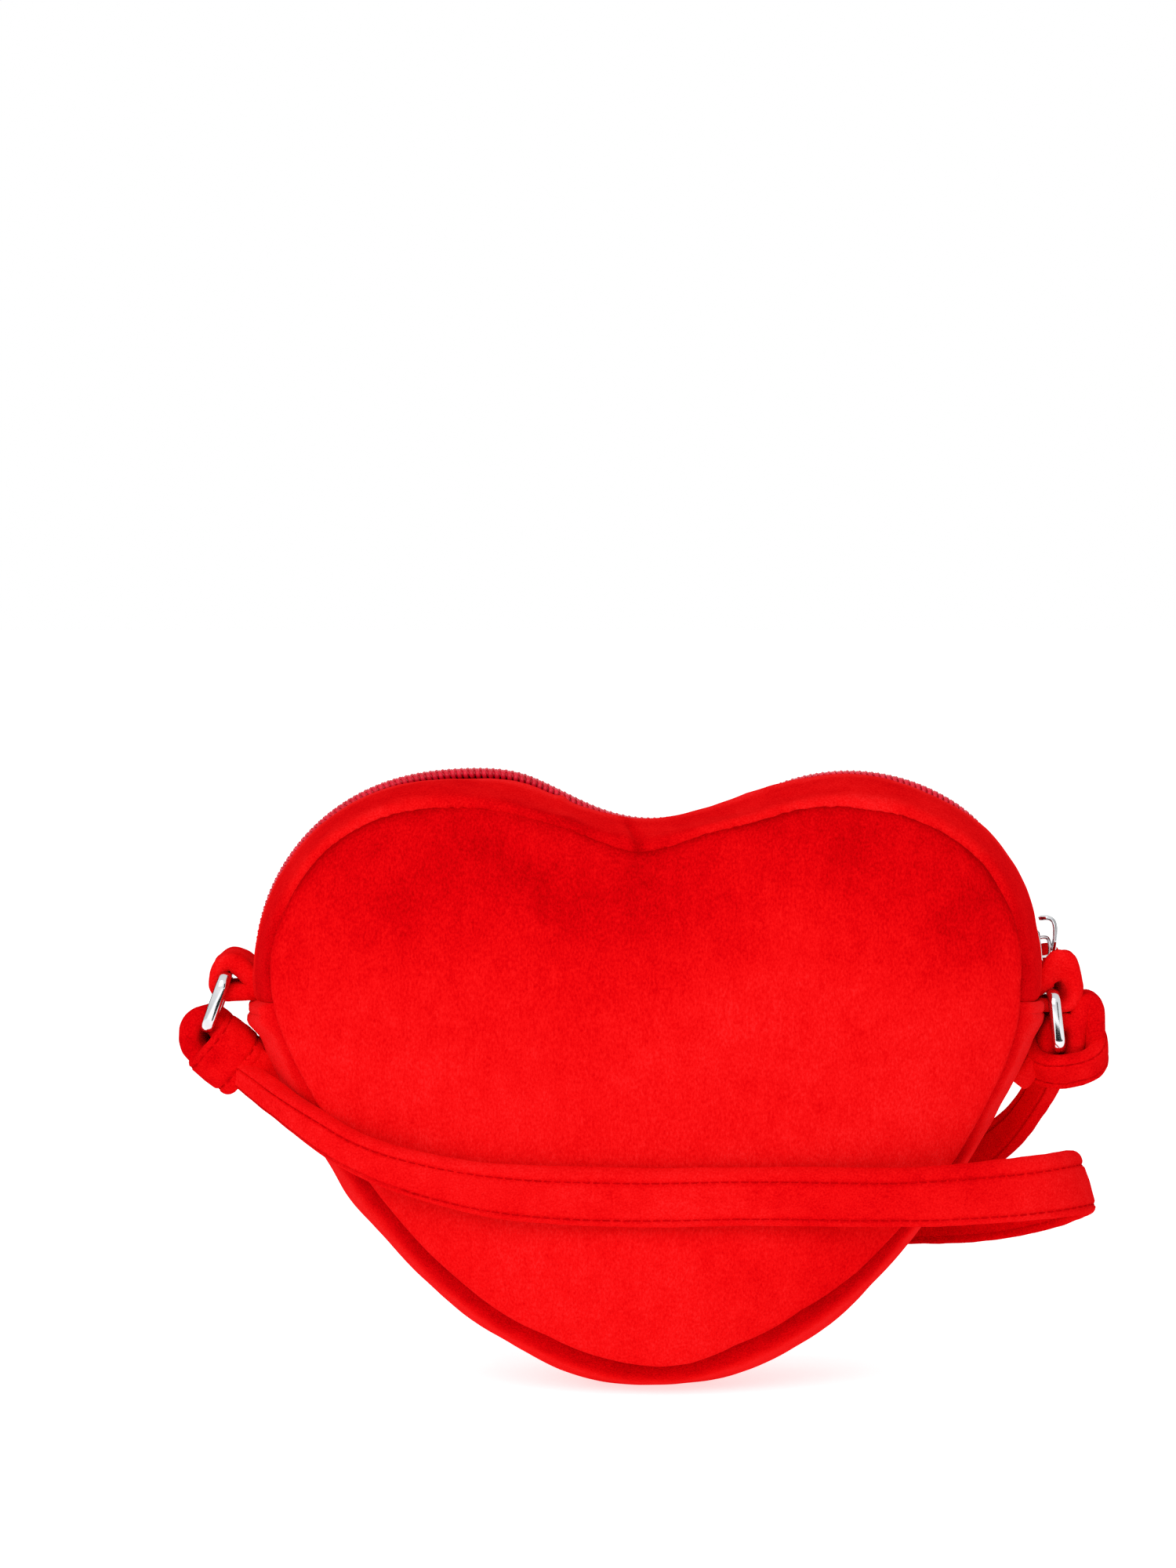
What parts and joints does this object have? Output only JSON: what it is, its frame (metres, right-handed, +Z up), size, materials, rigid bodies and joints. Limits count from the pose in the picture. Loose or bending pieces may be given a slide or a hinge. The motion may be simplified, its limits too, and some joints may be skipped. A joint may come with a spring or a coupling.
{
  "type": "heart shaped purse",
  "caption": "Heart shaped plush velvet purse with a coil zip over its top and a shoulder strap knotted to side rings.",
  "frame": {"origin": "middle of the flat foot under the point of the heart", "axes": "+X to the right as seen from the front, +Y from the front panel to the back panel, +Z up"},
  "size_m": [0.2005, 0.0919, 0.1335],
  "materials": {
    "velvet": "short plush pile",
    "strap_velvet": "short plush pile, topstitched",
    "lining": "smooth woven",
    "wadding": "matte",
    "zip_tape": "woven",
    "zip_coil": "semi gloss",
    "bright_metal": "polished"
  },
  "bodies": {
    "bag": {"back_panel": "velvet", "back_wadding": "wadding", "back_lining": "lining", "front_panel_lower": "velvet", "front_wadding_lower": "wadding", "front_lining_lower": "lining", "bottom_gusset": "velvet", "gusset_lining": "lining", "back_zip_strip": "velvet", "back_zip_facing": "lining", "back_zip_tape": "zip_tape", "back_zip_coil": "zip_coil", "left_tab": "velvet", "right_tab": "velvet", "strap_front_run": "strap_velvet", "strap_back_run": "strap_velvet"},
    "mouth_flap": {"front_panel_upper": "velvet", "front_wadding_upper": "wadding", "front_lining_upper": "lining", "front_zip_strip": "velvet", "front_zip_facing": "lining", "front_zip_tape": "zip_tape", "front_zip_coil": "zip_coil"},
    "slider": {"zip_slider": "bright_metal"},
    "pull": {"zip_pull": "bright_metal"},
    "left_ring_and_knot": {"left_ring": "bright_metal", "left_strap_knot": "strap_velvet"},
    "right_ring_and_knot": {"right_ring": "bright_metal", "right_strap_knot": "strap_velvet"}
  },
  "joints": [
    {"name": "mouth_open", "type": "hinge", "parent": "bag", "child": "mouth_flap", "pos_m": [0, -0.0272, 0.08342], "axis": [1, 0, 0], "range_deg": [0, 34], "deforming": ["front_zip_tape", "front_zip_coil"]},
    {"name": "zip_travel", "type": "hinge", "parent": "bag", "child": "slider", "pos_m": [0.0432, 0, 0.091], "axis": [0, -1, 0], "range_deg": [0, 102], "deforming": ["back_zip_tape", "back_zip_coil"]},
    {"name": "pull_swing", "type": "hinge", "parent": "slider", "child": "pull", "pos_m": [0.08789, 0, 0.0953], "axis": [0, 1, 0], "range_deg": [0, 100]},
    {"name": "left_ring_swing", "type": "hinge", "parent": "bag", "child": "left_ring_and_knot", "pos_m": [-0.09143, 0, 0.0886], "axis": [0, 1, 0], "range_deg": [0, 60], "deforming": ["strap_front_run"]},
    {"name": "right_ring_swing", "type": "hinge", "parent": "bag", "child": "right_ring_and_knot", "pos_m": [0.08767, 0, 0.085], "axis": [0, -1, 0], "range_deg": [0, 60], "deforming": ["strap_back_run"]}
  ],
  "couplings": [
    {"joint": "zip_travel", "follows": "mouth_open", "ratio": 3}
  ]
}
